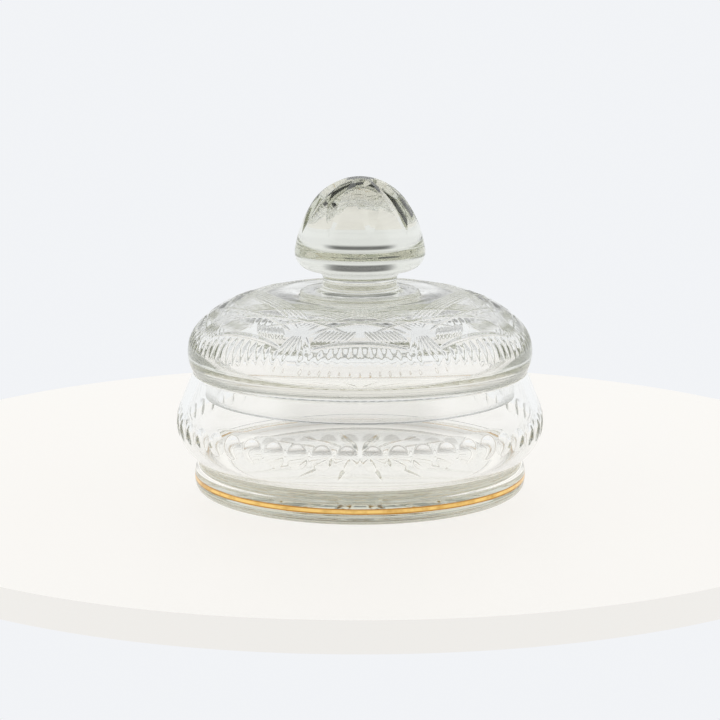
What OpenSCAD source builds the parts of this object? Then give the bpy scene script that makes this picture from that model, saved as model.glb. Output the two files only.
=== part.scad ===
// Round cut-crystal candy box: a footed bowl, a domed lid that drops into its mouth,
// a mushroom knob on the crown and a fired gold line round the foot.
// Millimetres, +Z up, origin at the middle of the underside of the foot.

/* [Bowl] */
// Outside diameter at the widest part of the belly
belly_d = 150; // [130:1:170]
// Height of the widest part above the table
belly_z = 28.5; // [27:0.5:29]
// Radius of the belly's curve in profile
belly_curve = 17; // [16:0.5:18]
// Lean of the shoulder inward from vertical, in degrees
shoulder_lean = 22.5; // [19:0.5:26]
// Height of the rim above the table
rim_z = 49; // [46:0.5:54]
// Thickness of the bowl's wall
bowl_wall = 3.8; // [3:0.1:4.4]
// Radius of the curve between the inside wall and the floor
floor_curve = 14.8; // [14.2:0.1:15.2]
// Height of the inside floor, which is the thickness of the base
floor_z = 14.4; // [14:0.1:16]

/* [Foot] */
// Outside diameter of the foot
foot_d = 135.4; // [132:0.2:138]
// Height of the foot's edge
foot_h = 9.3; // [8:0.1:10]
// Radius of the foot's rounded lower edge
foot_round = 4; // [2:0.1:4.5]
// Radius of the groove between foot and belly
groove_curve = 2.7; // [2.2:0.1:3]
// Depth of the groove below the foot's edge
groove_depth = 1.9; // [1.5:0.1:2.2]
// Least glass between the groove and the inside of the bowl
groove_wall = 2.5; // [2:0.1:2.8]
// Bevel round the rim of the bowl and the seat of the lid
edge_bevel = 0.6; // [0.3:0.1:1]
// Diameter of the shallow hollow under the base
hollow_d = 108; // [100:1:120]
// Depth of the hollow under the base
hollow_depth = 0.8; // [0.4:0.1:1.5]

/* [Gold line] */
// Height of the gold line's middle above the table
gold_z = 6; // [4:0.1:7]
// Width of the gold line
gold_w = 2; // [1:0.1:3]
// Depth of the channel that the gold fills
gold_t = 0.3; // [0.2:0.05:0.5]

/* [Lid] */
// Height of the lid's widest part above its seat
lid_rise = 8.1; // [7:0.1:9]
// Radius of the lid's shoulder in profile
lid_shoulder = 15.5; // [14:0.1:16.5]
// Angle above horizontal where the shoulder passes into the crown
crown_turn = 45; // [42:0.5:48]
// Radius of the crown's curve in profile
crown_curve = 43; // [41:0.5:46]
// Thickness of the lid over its crown
lid_wall = 4; // [3.2:0.1:5]
// Inside radius of the lid's shoulder in profile
lid_inner_curve = 8.5; // [7.5:0.1:9]
// Depth that the ground flange reaches into the bowl
flange_h = 10; // [7:0.5:12]
// Thickness of the flange
flange_t = 4; // [3:0.1:5]
// Clearance all round between the flange and the bowl's mouth
flange_fit = 1.2; // [0.6:0.1:1.6]

/* [Knob] */
// Diameter of the knob at its widest
knob_d = 53; // [48:0.5:58]
// Height of the knob from its seat on the crown to its tip
knob_h = 48.5; // [46:0.5:54]
// Height of the knob's widest part above its seat
knob_rise = 18; // [16:0.5:20]
// Lean of the knob's side inward where it leaves the rounded edge, in degrees
knob_lean = 8; // [4:0.5:12]
// Angle above horizontal where the knob's side passes into its rounded tip
knob_turn = 32; // [28:0.5:40]
// Radius of the knob's rounded lower edge, as far as there is room over the neck
knob_edge = 7; // [4:0.1:8]
// Radius of the hollow of the neck in profile
neck_curve = 4.2; // [3.8:0.1:4.6]
// Diameter of the neck at its waist
neck_d = 29.8; // [26:0.2:34]
// Diameter of the collar at the foot of the neck
collar_d = 49; // [46:0.5:54]
// Thickness of the collar
collar_t = 2.4; // [2:0.1:3.2]

/* [Cutting] */
// Number of lens cuts round the belly
lens_count = 48; // [36:1:60]
// Radius of the wheel that cuts the lenses
lens_wheel = 17; // [12:0.5:30]
// Depth of a lens cut
lens_depth = 0.69; // [0.3:0.01:0.9]
// Number of rays in the star under the base
star_rays = 16; // [12:2:24]
// Distance from the axis to the inner end of a ray
star_inner = 4; // [3:0.5:8]
// Distance from the axis to the outer end of a ray
star_outer = 45; // [36:1:48]
// Depth of a ray at its middle
star_depth = 0.9; // [0.4:0.1:1.2]
// Number of scallops round the lid's shoulder
scallop_count = 8; // [7:1:12]
// Distance in from the lid's seat to the middle of a scallop, in plan
scallop_inset = 5.4; // [3.5:0.1:8]
// Gap between the ends of neighbouring scallops
scallop_gap = 7.8; // [5:0.1:16]
// Depth of a scallop's mitre at its middle
scallop_depth = 0.6; // [0.3:0.05:0.9]
// Number of long mitres that make the star on the crown
mitre_count = 16; // [8:1:20]
// Distance in from the lid's seat to the middle of a long mitre, in plan
mitre_inset = 16.8; // [14:0.1:22]
// Half of a long mitre's length, measured straight
mitre_half = 32; // [20:0.5:34]
// Depth of a long mitre at its middle
mitre_depth = 0.5; // [0.3:0.05:0.8]
// Half of the opening angle of every mitre, in degrees
mitre_flank = 58; // [45:1:62]
// Number of mitres that run down the knob
knob_cuts = 9; // [6:1:10]
// Depth of a knob mitre at its middle
knob_cut_depth = 1.5; // [0.6:0.1:1.8]
// Angle above horizontal of a knob mitre's lower end, on the knob's side
knob_cut_low = 20; // [16:1:22]
// Angle above horizontal of a knob mitre's upper end, on the knob's tip
knob_cut_high = 65; // [62:1:70]
// Bearing of the first knob mitre from the front, in degrees
knob_cut_first = 10; // [0:1:40]

/* [Hidden] */
$fn = 96;
// Overlap that joins two arcs of one profile without a tangent seam
blend = 0.05;
// Length by which a cutter or a filling piece runs past the face it works on
past = 1;
// Height of a mitre's V as a multiple of the depth it cuts
v_height = 3;
// Number of sets in which the crossing mitres on the crown are cut
mitre_sets = 4;
// Glass left standing between neighbouring lens cutters
lens_land = 0.2;
// Bearing of the front, on the -Y side
front = -90;
glass = [0.86, 0.92, 0.90, 0.45];
gold = [0.83, 0.62, 0.22];

// Unit vector at an angle above horizontal
function dir(angle) = [cos(angle), sin(angle)];

// Bowl, worked out from the belly outward
belly_r = belly_d / 2;
belly_at = [belly_r - belly_curve, belly_z];
shoulder_on = belly_at + (belly_curve - blend) * dir(shoulder_lean);
rim_r = shoulder_on[0] - (rim_z - shoulder_on[1]) * tan(shoulder_lean);
inner_at = [belly_r - bowl_wall - floor_curve, belly_z];
mouth_on = inner_at + (floor_curve - blend) * dir(shoulder_lean);
mouth_r = mouth_on[0] - (rim_z - mouth_on[1]) * tan(shoulder_lean);
foot_r = foot_d / 2;
groove_at = [foot_r - groove_depth + groove_curve, foot_h + groove_curve - blend];

// Lid, worked out from the bowl's rim and mouth
seat_z = rim_z;
lid_at = [rim_r - sqrt(pow(lid_shoulder, 2) - pow(lid_rise, 2)), seat_z + lid_rise];
crown_at = lid_at - (crown_curve - lid_shoulder) * dir(crown_turn);
crown_in = crown_curve - lid_wall;
lid_in_at = crown_at + (crown_in - lid_inner_curve) * dir(crown_turn);
flange_r = mouth_r - flange_fit;
flange_in = flange_r - flange_t;

// Knob, seated where the crown dips to the collar's edge
collar_r = collar_d / 2;
knob_z = crown_at[1] + sqrt(pow(crown_curve, 2) - pow(crown_at[0] - collar_r, 2));
knob_r = knob_d / 2;
knob_at = knob_z + knob_rise;
knob_top = knob_z + knob_h;
neck_at = [neck_d / 2 + neck_curve, knob_z + collar_t + neck_curve];
knob_under = [neck_at[0], neck_at[1] + neck_curve];
edge_r = min(knob_edge, knob_at - knob_under[1] - blend);
edge_at = [knob_r - edge_r, knob_at];

// Side and tip of the knob's head, two arcs that meet smoothly at the turn
side_on = edge_at + edge_r * dir(knob_lean);
turn_share = (1 - sin(knob_turn)) / cos(knob_turn);
side_share = dir(knob_turn) - dir(knob_lean);
knob_side = (knob_top - side_on * [turn_share, 1]) / (side_share * [turn_share, 1]);
side_at = side_on - knob_side * dir(knob_lean);
turn_on = side_at + knob_side * dir(knob_turn);
knob_tip = turn_on[0] / cos(knob_turn);
tip_at = [0, knob_top - knob_tip];

// Height and slope of the lid's outside at a distance from the axis
function on_shoulder(r) = r > crown_at[0] + crown_curve * cos(crown_turn);
function crown_height(r) = on_shoulder(r)
    ? lid_at[1] + sqrt(pow(lid_shoulder, 2) - pow(r - lid_at[0], 2))
    : crown_at[1] + sqrt(pow(crown_curve, 2) - pow(r - crown_at[0], 2));
function crown_slope(r) = on_shoulder(r)
    ? asin((r - lid_at[0]) / lid_shoulder)
    : asin((r - crown_at[0]) / crown_curve);

// Part of a ring with a V edge, which stands for the path of a mitring wheel.
// The edge runs through the origin along X, and the V opens towards +Z, leaning by lean towards -Y.
// At half its length from the origin the edge has dropped by sag, or has risen where sag is negative.
module mitre(half, sag, depth, lean = 0) {
    bend = sign(sag);
    radius = (half * half + sag * sag) / (2 * abs(sag));
    sweep = 2 * asin((half + past) / radius);
    translate([0, 0, -bend * radius])
        rotate([90, sweep / 2 - bend * 90, 0])
            rotate_extrude(angle = sweep)
                translate([radius, 0])
                    polygon([
                        [0, 0],
                        bend * v_height * depth * dir(lean - mitre_flank),
                        bend * v_height * depth * dir(lean + mitre_flank)
                    ]);
}

// Ring of straight mitres across the lid, each square to the radius at its middle.
// Only every nth is cut, starting at first, and shift turns the ring by a share of its pitch.
module lid_mitres(count, shift, reach, half, depth, first = 0, nth = 1) {
    bottom = crown_height(reach) - depth;
    sag = bottom - crown_height(norm([reach, half]));
    for (i = [first : nth : count - 1])
        rotate([0, 0, (i + shift) * 360 / count])
            translate([0, -reach, bottom])
                mitre(half, sag, depth, crown_slope(reach));
}

// Profile of the foot, with its lower edge rounded
module foot_outside() {
    intersection() {
        union() {
            translate([foot_r - foot_round, foot_round]) circle(r = foot_round + blend);
            square([foot_r - foot_round, foot_round]);
            translate([0, foot_round]) square([foot_r, foot_h + groove_curve - foot_round]);
        }
        square([foot_r, foot_h + groove_curve]);
    }
}

// Profile of the groove, which stays clear of the space inside the bowl
module groove() {
    difference() {
        translate(groove_at) circle(r = groove_curve);
        translate(inner_at) circle(r = floor_curve + groove_wall);
        translate([0, floor_z - groove_wall]) square([inner_at[0], rim_z]);
    }
}

// Profile of the bowl's outside, with its foot
module bowl_outside() {
    difference() {
        union() {
            translate(belly_at) circle(r = belly_curve);
            polygon([[0, belly_z], belly_at, shoulder_on, [rim_r, rim_z], [0, rim_z]]);
            translate([0, foot_h]) square([foot_r - groove_depth / 2, belly_z - foot_h]);
            foot_outside();
        }
        groove();
        polygon([
            [rim_r - edge_bevel, rim_z],
            [rim_r + past, rim_z - edge_bevel - past],
            [rim_r + past, rim_z + past],
            [rim_r - edge_bevel, rim_z + past]
        ]);
    }
}

// Profile of the space inside the bowl
module bowl_inside() {
    intersection() {
        union() {
            translate(inner_at) circle(r = floor_curve);
            polygon([
                [0, floor_z],
                [inner_at[0], floor_z],
                inner_at,
                mouth_on,
                [mouth_r, rim_z],
                [mouth_r + edge_bevel, rim_z + edge_bevel],
                [0, rim_z + edge_bevel]
            ]);
        }
        translate([0, floor_z]) square([belly_r, rim_z]);
    }
}

// Row of upright lens cuts round the belly
module lens_row() {
    pitch = 360 / lens_count;
    width = 2 * belly_r * sin(pitch / 2) - lens_land;
    for (i = [0 : lens_count - 1])
        rotate([0, 0, (i + 0.5) * pitch])
            translate([0, -belly_r, belly_z - belly_curve / 2])
                linear_extrude(belly_curve)
                    intersection() {
                        translate([0, lens_depth - lens_wheel]) circle(r = lens_wheel);
                        translate([-width / 2, -past / 2]) square([width, past + lens_depth]);
                    }
}

// Star of mitred rays under the base
module base_star() {
    half = (star_outer - star_inner) / 2;
    for (i = [0 : star_rays - 1])
        rotate([0, 0, (i + 0.5) * 360 / star_rays])
            translate([star_inner + half, 0, hollow_depth + star_depth])
                rotate([180, 0, 0])
                    mitre(half, -star_depth, star_depth);
}

// Profile of the channel in the foot that holds the gilding
module gold_channel() {
    translate([foot_r - gold_t, gold_z - gold_w / 2]) square([gold_t + past, gold_w]);
}

module bowl() {
    color(glass)
        difference() {
            rotate_extrude()
                difference() {
                    bowl_outside();
                    bowl_inside();
                    translate([-past, -past]) square([past + hollow_d / 2, past + hollow_depth]);
                }
            lens_row();
            base_star();
            rotate_extrude() gold_channel();
        }
}

module gold_line() {
    color(gold)
        rotate_extrude()
            intersection() {
                gold_channel();
                foot_outside();
            }
}

// Wedge of a profile from the crown's turn in to the axis
module crown_wedge() {
    long = 2 * crown_curve;
    polygon([
        crown_at,
        crown_at + long * dir(crown_turn),
        [crown_at[0], crown_at[1] + long],
        [0, crown_at[1] + long],
        [0, crown_at[1]]
    ]);
}

// Profile of the lid's outside, down to its seat, with the flange below
module lid_outside() {
    intersection() {
        union() {
            translate(lid_at) circle(r = lid_shoulder + blend);
            intersection() {
                translate(crown_at) circle(r = crown_curve);
                crown_wedge();
            }
            square(lid_at);
            square([crown_at[0], knob_z]);
        }
        translate([0, seat_z]) square([belly_r + lid_rise, knob_z]);
    }
    translate([0, seat_z - flange_h]) square([flange_r, flange_h + past]);
}

// Profile of the space inside the lid
module lid_inside() {
    translate(lid_in_at) circle(r = lid_inner_curve + blend);
    intersection() {
        translate(crown_at) circle(r = crown_in);
        crown_wedge();
    }
    translate([0, seat_z - flange_h - past])
        square([flange_in, lid_in_at[1] - seat_z + flange_h + past]);
    square([crown_at[0], knob_z - lid_wall]);
}

// Row of scalloped mitres round the lid's shoulder
module scallops() {
    reach = rim_r - scallop_inset;
    half = reach * tan(180 / scallop_count) - scallop_gap / 2;
    lid_mitres(scallop_count, 0, reach, half, scallop_depth);
}

// One set of the long straight mitres on the crown, none of which crosses another of its set
module crown_mitres(set) {
    reach = rim_r - mitre_inset;
    lid_mitres(mitre_count, 0.5, reach, mitre_half, mitre_depth, set, mitre_sets);
}

// Lid as it comes from the mould, turned and ground
module lid_blank() {
    rotate_extrude()
        difference() {
            lid_outside();
            lid_inside();
            polygon([
                [rim_r - edge_bevel, seat_z],
                [rim_r + past, seat_z + edge_bevel + past],
                [rim_r + past, seat_z - past],
                [rim_r - edge_bevel, seat_z - past]
            ]);
        }
}

// Lid after the scallops and so many sets of crossing mitres, which make a star on the crown
module cut_lid(sets) {
    difference() {
        if (sets == 0)
            lid_blank();
        else
            cut_lid(sets - 1);
        if (sets == 0)
            scallops();
        else
            crown_mitres(sets - 1);
    }
}

module lid() {
    color(glass) cut_lid(mitre_sets);
}

// Profile of the knob's head, from its widest part up
module knob_head() {
    intersection() {
        translate(tip_at) circle(r = knob_tip);
        translate([0, knob_at]) square([knob_d, knob_h]);
    }
    intersection() {
        translate(side_at) circle(r = knob_side - blend);
        translate([0, side_on[1]]) square([knob_d, turn_on[1] - side_on[1]]);
    }
}

// Profile of the knob: head, rounded lower edge, hollow neck and collar
module knob_profile() {
    to_edge = edge_at - knob_under;
    touch = atan2(to_edge[1], to_edge[0]) - asin(edge_r / norm(to_edge)) - 90;
    difference() {
        union() {
            knob_head();
            translate(edge_at) circle(r = edge_r);
            polygon([
                [0, knob_under[1]],
                knob_under,
                edge_at + (edge_r - blend) * dir(touch),
                edge_at,
                [edge_at[0], knob_at + edge_r / 2],
                [0, knob_at + edge_r / 2]
            ]);
            translate([0, knob_z]) square([neck_at[0], knob_under[1] + blend - knob_z]);
            translate([0, knob_z]) square([collar_r - collar_t / 2, collar_t]);
            translate([collar_r - collar_t / 2 - blend, knob_z + collar_t / 2])
                circle(r = collar_t / 2 + blend);
        }
        translate(neck_at) circle(r = neck_curve);
        translate([0, knob_z - past]) square([knob_d, past]);
    }
}

// Mitres that run from near the tip to halfway down the knob's head
module knob_mitres() {
    low = side_at + knob_side * dir(knob_cut_low);
    high = tip_at + knob_tip * dir(knob_cut_high);
    run = high - low;
    lift = atan2(run[1], run[0]) - 90;
    sag = (turn_on - (low + high) / 2) * dir(lift) - knob_cut_depth;
    deep = (low + high) / 2 + sag * dir(lift);
    for (i = [0 : knob_cuts - 1])
        rotate([0, 0, front + knob_cut_first + i * 360 / knob_cuts])
            translate([deep[0], 0, deep[1]])
                rotate([0, 90 - lift, 0])
                    mitre(norm(run) / 2, sag, knob_cut_depth);
}

module knob() {
    color(glass)
        difference() {
            rotate_extrude() knob_profile();
            knob_mitres();
        }
}

bowl();
gold_line();
lid();
knob();
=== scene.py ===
"""Visual model of a round cut-crystal candy box: bowl, lid with knob, gold line and stage.

Each glass piece is one turned mesh, walked along its profile from the axis out and back to the
axis. Cuts are pushed into it along the profile's normal, as deep as a cutting wheel would go.
Sizes are in metres. Bearings are in degrees from the front (-Y), positive towards +X.
"""

import math
from collections import namedtuple

import bpy
import numpy as np
from bpy.props import FloatProperty, FloatVectorProperty, IntProperty, PointerProperty
from bpy.types import Operator, Panel, PropertyGroup
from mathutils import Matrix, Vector


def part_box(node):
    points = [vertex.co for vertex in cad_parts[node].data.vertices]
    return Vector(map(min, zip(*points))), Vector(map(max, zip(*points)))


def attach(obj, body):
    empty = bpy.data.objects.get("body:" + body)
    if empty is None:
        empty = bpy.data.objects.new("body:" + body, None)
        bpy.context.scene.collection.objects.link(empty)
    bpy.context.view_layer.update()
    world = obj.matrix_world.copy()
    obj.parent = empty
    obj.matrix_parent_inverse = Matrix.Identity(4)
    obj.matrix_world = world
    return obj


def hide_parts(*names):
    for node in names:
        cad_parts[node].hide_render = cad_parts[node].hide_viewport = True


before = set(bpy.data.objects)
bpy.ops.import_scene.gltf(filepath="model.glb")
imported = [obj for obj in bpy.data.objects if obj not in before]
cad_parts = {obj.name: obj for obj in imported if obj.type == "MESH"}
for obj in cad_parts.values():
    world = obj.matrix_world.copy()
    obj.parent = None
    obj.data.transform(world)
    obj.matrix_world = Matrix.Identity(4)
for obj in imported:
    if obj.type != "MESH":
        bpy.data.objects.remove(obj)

bl_info = {
    "name": "Cut-crystal candy box",
    "version": (1, 0, 0),
    "blender": (4, 5, 0),
    "location": "3D View > Sidebar > Candy box",
    "description": "Builds the glass, gilding and stage of a cut-crystal candy box",
    "category": "Object",
}

MM = 0.001
STEP = 0.05 * MM  # spacing of the samples along a profile
BELL_REACH = 4  # how far the softening of an edge reaches, in its standard deviations
RING = 360  # vertices round a plain turned zone; a zone with cuts has a multiple of it
SEED = 7  # seed of the small irregularities of hand work
HAND_DEPTHS = (0.85, 1.1)  # least and greatest depth of a cut made by hand, as shares
WAVER_SPAN = 25  # number of neighbours that even out the edges of the gold line
SENSOR = 36  # width of the camera's sensor in millimetres

# points along the path of each kind of cut
RAY_POINTS = 24
KNOB_POINTS = 40
LINE_POINTS = 48
STROKE_POINTS = 14
FLUTE_POINTS = 12

# limits of the zones that hold cuts
LENS_HALF = 6 * MM  # half of the height of the zone of the lens cuts
STAR_MARGIN = 2 * MM  # plain margin round the star under the base
BARE_TIP = 3 * MM  # radius of the uncut tip of the knob
CROWN_CUTS = 35.5 * MM  # radius where the cutting on the crown starts
SHOULDER_CUTS = 1 * MM  # height above the lid's widest part where the cutting ends

# ground faces, and how softly they pass into polished ones
RIM_GROUND = 0.5  # how far the rim is ground, as a share
RIM_FADE = 0.3 * MM
FLANGE_OUTSIDE = 2.2 * MM  # how far up the flange is ground on its outside
FLANGE_INSIDE = 0.3 * MM  # how far up the flange is ground on its inside
FLANGE_FADE = 0.5 * MM

# places in the surround, by the setting that lights them: how far back a direction points, from
# where the place starts to where it is full, and how high it points, from the lower to the upper edge
SURROUND = {
    "opening_light": ((-0.4, -0.65), (0.2, 0.7)),
    "gap_light": ((0.1, 0.4), (0.26, 0.8)),
    "ceiling_light": ((-1.2, -1.1), (0.8, 1.2)),
    "rear_light": ((0.88, 0.97), (0.02, 0.17)),
}
SURROUND_EDGE = 0.05  # how softly those places end at their lower and upper edges


def size(name, description, default):
    """A length, shown in the scene's units."""
    return FloatProperty(
        name=name, description=description, default=default, precision=5, unit="LENGTH"
    )


def share(name, description, default):
    """A plain number from 0 to 1."""
    return FloatProperty(name=name, description=description, default=default, min=0, max=1)


def degrees(name, description, default):
    """An angle in degrees."""
    return FloatProperty(name=name, description=description, default=default)


def count(name, description, default):
    """A number of repeats."""
    return IntProperty(name=name, description=description, default=default, min=1)


def tint(name, description, default):
    """A linear colour."""
    return FloatVectorProperty(
        name=name, description=description, default=default, size=3, subtype="COLOR", min=0, max=1
    )


class BowlSettings(PropertyGroup):
    """Form of the bowl, apart from what the frame gives."""

    belly_z: size("Belly height", "Height of the widest part of the belly", 0.0285)
    belly_curve: size("Belly curve", "Radius of the belly in profile", 0.017)
    shoulder_lean: degrees("Shoulder lean", "Lean of the shoulder from vertical", 22.5)
    wall: size("Wall", "Thickness of the wall", 0.0038)
    floor_curve: size("Floor curve", "Radius between inside wall and floor", 0.0148)
    floor_z: size("Floor height", "Height of the inside floor", 0.0144)
    foot_h: size("Foot height", "Height of the foot's edge", 0.0093)
    foot_round: size("Foot rounding", "Radius of the foot's lower edge", 0.004)
    foot_top_round: size("Foot top rounding", "Radius of the foot's upper edge", 0.0009)
    groove_curve: size("Groove curve", "Radius of the groove over the foot", 0.0027)
    groove_depth: size("Groove depth", "Depth of the groove below the foot's edge", 0.0019)
    hollow_r: size("Hollow radius", "Radius of the hollow under the base", 0.054)
    hollow_depth: size("Hollow depth", "Depth of the hollow under the base", 0.0008)
    lens_count: count("Lenses", "Number of lens cuts round the belly", 48)
    lens_wheel: size("Lens wheel", "Radius of the wheel that cuts the lenses", 0.017)
    lens_depth: size("Lens depth", "Depth of a lens cut", 0.00069)
    star_rays: count("Star rays", "Number of rays under the base", 16)
    star_inner: size("Star inner end", "Distance from the axis to a ray's inner end", 0.004)
    star_outer: size("Star outer end", "Distance from the axis to a ray's outer end", 0.045)
    star_depth: size("Star depth", "Depth of a ray at its middle", 0.0007)
    star_flank: degrees("Star flank", "Half of the opening angle of a ray", 72)


class LidSettings(PropertyGroup):
    """Form of the lid and its cutting, apart from what the frame gives."""

    rise: size("Rise", "Height of the lid's widest part above its seat", 0.0081)
    shoulder: size("Shoulder", "Radius of the lid's shoulder in profile", 0.0155)
    crown_turn: degrees("Crown turn", "Angle where the shoulder passes into the crown", 45)
    crown_curve: size("Crown curve", "Radius of the crown in profile", 0.043)
    wall: size("Wall", "Thickness over the crown", 0.004)
    inner_curve: size("Inner curve", "Inside radius of the shoulder in profile", 0.0085)
    flange_fit: size("Flange fit", "Clearance between flange and mouth", 0.0012)
    flange_t: size("Flange thickness", "Thickness of the flange", 0.004)
    seat_gap: size("Seat gap", "Air left between the lid's seat and the rim", 0.00005)
    scallops: count("Scallops", "Number of scallops round the shoulder", 8)
    scallop_inset: size("Scallop inset", "From the seat in to a scallop's middle", 0.0054)
    scallop_gap: size("Scallop gap", "Gap between the ends of neighbouring scallops", 0.0078)
    scallop_depth: size("Scallop depth", "Depth of a scallop's mitre", 0.0006)
    flutes: count("Flutes", "Number of short flutes under a scallop", 13)
    flute_pitch: degrees("Flute pitch", "Bearing from one flute to the next", 3.25)
    flute_depth: size("Flute depth", "Depth of a flute at its middle", 0.00043)
    flute_flank: degrees("Flute flank", "Half of the opening angle of a flute", 73)
    flute_top: size("Flute top", "Drop from the scallop to the upper end of a flute", 0.0012)
    flute_foot: size("Flute foot", "Height of a flute's lower end above the widest part", 0.0025)
    flute_waver: degrees("Flute waver", "How far a flute strays from its bearing", 0.12)
    mitres: count("Long mitres", "Number of long mitres in the star on the crown", 16)
    mitre_inset: size("Mitre inset", "From the seat in to a long mitre's middle", 0.0168)
    mitre_half: size("Mitre half", "Half of a long mitre's length", 0.032)
    mitre_depth: size("Mitre depth", "Depth of a long mitre at its middle", 0.0004)
    points_r: size("Star points", "Distance of the star's points from the axis", 0.0595)
    band_depth: size("Band depth", "Depth of the first line of a band", 0.0006)
    band_lines: count("Band lines", "Number of lines in a band between two points of the star", 5)
    band_pitch: size("Band pitch", "Distance between the fine lines of a band", 0.0014)
    band_draw: share("Band draw", "How far the ends of a band's lines draw in, per pitch", 0.3)
    spray_rays: count("Spray rays", "Number of rays that hang between two scallops", 6)
    spray_spread: degrees("Spray spread", "Bearing across the lower ends of a spray", 13)
    spray_gather: share("Spray gather", "Share of the spread at a spray's upper end", 0.3)
    spray_foot: size("Spray foot", "From the seat in to a spray's lower ends", 0.0005)
    hatch_lines: count("Hatch lines", "Number of fine lines in a hatched field", 8)
    hatch_first: degrees("Hatch start", "Bearing from a scallop's middle to the first line", 1.5)
    hatch_pitch: degrees("Hatch pitch", "Bearing from one line of a field to the next", 1.6)
    hatch_lean: degrees("Hatch lean", "Bearing from a line's upper end to its lower end", 4.5)
    hatch_top: size("Hatch top", "From a scallop's middle in to a line's upper end", 0.0055)
    hatch_foot: size("Hatch foot", "From a scallop's middle in to a line's lower end", 0.0003)
    fine_depth: size("Fine depth", "Depth of the fine lines", 0.0004)


class KnobSettings(PropertyGroup):
    """Form of the knob, apart from what the frame gives."""

    rise: size("Rise", "Height of the knob's widest part above its seat", 0.018)
    lean: degrees("Lean", "Lean of the side where it leaves the rounded edge", 8)
    turn: degrees("Turn", "Angle where the knob's side passes into its tip", 32)
    edge: size("Edge", "Radius of the rounded lower edge", 0.007)
    neck_curve: size("Neck curve", "Radius of the hollow of the neck", 0.0042)
    neck_r: size("Neck radius", "Radius of the neck at its waist", 0.0149)
    collar_r: size("Collar radius", "Radius of the collar", 0.0245)
    collar_t: size("Collar thickness", "Thickness of the collar", 0.0024)
    cuts: count("Cuts", "Number of mitres down the head", 9)
    cut_first: degrees("First cut", "Bearing of the first mitre", 10)
    cut_low: degrees("Lower end", "Angle of a mitre's lower end on the knob's side", 17)
    cut_high: degrees("Upper end", "Angle of a mitre's upper end on the knob's tip", 76)
    cut_flank: degrees("Cut flank", "Half of the opening angle of a mitre on the head", 72)
    cut_skew: FloatProperty(
        name="Cut skew", description="Above 1, a mitre is deepest in its upper half", default=1.4
    )
    cut_depth: size("Cut depth", "Depth of a mitre at its middle", 0.0015)


class LookSettings(PropertyGroup):
    """Surfaces and materials."""

    edge_soft: size("Soft edges", "How far the edges are worn and fire-polished", 0.00022)
    mitre_flank: degrees("Mitre flank", "Half of the opening angle of a mitre", 58)
    glass_ior: FloatProperty(name="Index", description="Index of refraction", default=1.54)
    glass_tint: tint("Glass tint", "Colour that light takes on in thick glass", (0.70, 0.71, 0.60))
    bowl_density: FloatProperty(
        name="Bowl density", description="Strength of the tint per metre of the bowl", default=9.0
    )
    lid_density: FloatProperty(
        name="Lid density", description="Strength of the tint per metre of the lid", default=12.0
    )
    ground_rough: share("Ground roughness", "Roughness of the ground faces", 0.25)
    smear_tint: tint("Smear", "Tone of the glass under a smear", (0.98, 0.985, 0.975))
    smear_rough: share("Smear roughness", "Roughness of the glass under a smear", 0.012)
    gold_light: tint("Gold", "Burnished gold", (1.0, 0.69, 0.25))
    # the dark gold below is painted shade at the line's edges, and the tone of smeared gold
    gold_edge_shade_and_smear: tint("Worn gold", "Gold where it is thin or worn", (0.55, 0.26, 0.05))
    gold_polish: share("Gold polish", "Roughness of burnished gold", 0.22)
    gold_scratch: share("Gold scratches", "Roughness of scratched gold", 0.42)
    # the two distances below set where the painted shade at the line's edges starts and where it is
    # full
    gold_shade_start: size("Gold full", "Distance from the line's middle where it starts to wear", 0.00045)
    gold_shade_full: size("Gold thin", "Distance from the line's middle where it is all worn", 0.0008)
    gold_skin: size("Gold skin", "Height of the gold over the glass", 0.00002)
    gold_depth: size("Gold depth", "Depth of the gold in the glass", 0.00015)
    gold_waver: size("Gold waver", "How far the edges of the gold line waver", 0.00012)
    gold_lap: size("Gold lap", "How far the gold laps over each edge of its channel", 0.0002)


class StageSettings(PropertyGroup):
    """Floor, surround and camera."""

    disc_r: size("Disc radius", "Radius of the turntable", 0.221)
    disc_back: size("Disc offset", "How far the disc's middle lies behind the object", 0.031)
    disc_t: size("Disc thickness", "Thickness of the turntable", 0.012)
    disc_tint: tint("Disc", "Colour of the turntable", (0.94, 0.92, 0.885))
    disc_paint: share("Disc paint", "Share of the disc's white that comes from light on it", 0.13)
    disc_smear: share("Disc smear", "Tone of the disc's white under a smear", 0.97)
    disc_glow: share("Disc glow", "Light that comes through the disc from below", 0.885)
    # the disc's side glows less than its top: painted shade
    disc_side_shade: share("Disc side", "Share of that light at the disc's side", 0.9)
    # the base glow below is a painted pool of light on the disc under the bowl's base
    painted_base_pool: FloatProperty(
        name="Base glow", description="How much more light comes up under the base", default=1.14
    )
    painted_base_pool_r: size("Base glow radius", "Radius of the brighter place under the base", 0.06)
    painted_base_pool_fade: size("Base glow fade", "How softly the brighter place ends", 0.004)
    tent_tint: tint("Tent", "Colour of the lit walls round the object", (0.97, 0.985, 1.0))
    tent_light: FloatProperty(name="Tent light", description="Strength of the walls", default=0.97)
    backdrop: tint("Backdrop", "Colour of the plain backdrop", (0.885, 0.90, 0.925))
    opening_light: share("Opening", "Light that comes through the front opening", 0.05)
    ceiling_light: share("Ceiling", "Light from the middle of the ceiling", 0.1)
    gap_light: share("Back gap", "Light from the gap above the backdrop", 0.85)
    rear_light: share("Rear", "Light from the low place at the back, which darkens the knob", 0.2)
    camera_lens: FloatProperty(name="Lens", description="Focal length in mm", default=125.0)
    camera_back: size("Camera distance", "Level distance of the camera from the axis", 1.00206)
    camera_z: size("Camera height", "Height of the camera above the table", 0.2483)
    camera_pitch: degrees("Camera pitch", "How far the camera looks down", 11.056)


def aim(angle):
    """Unit vector in a profile at an angle above horizontal."""
    return np.array([math.cos(math.radians(angle)), math.sin(math.radians(angle))])


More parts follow.
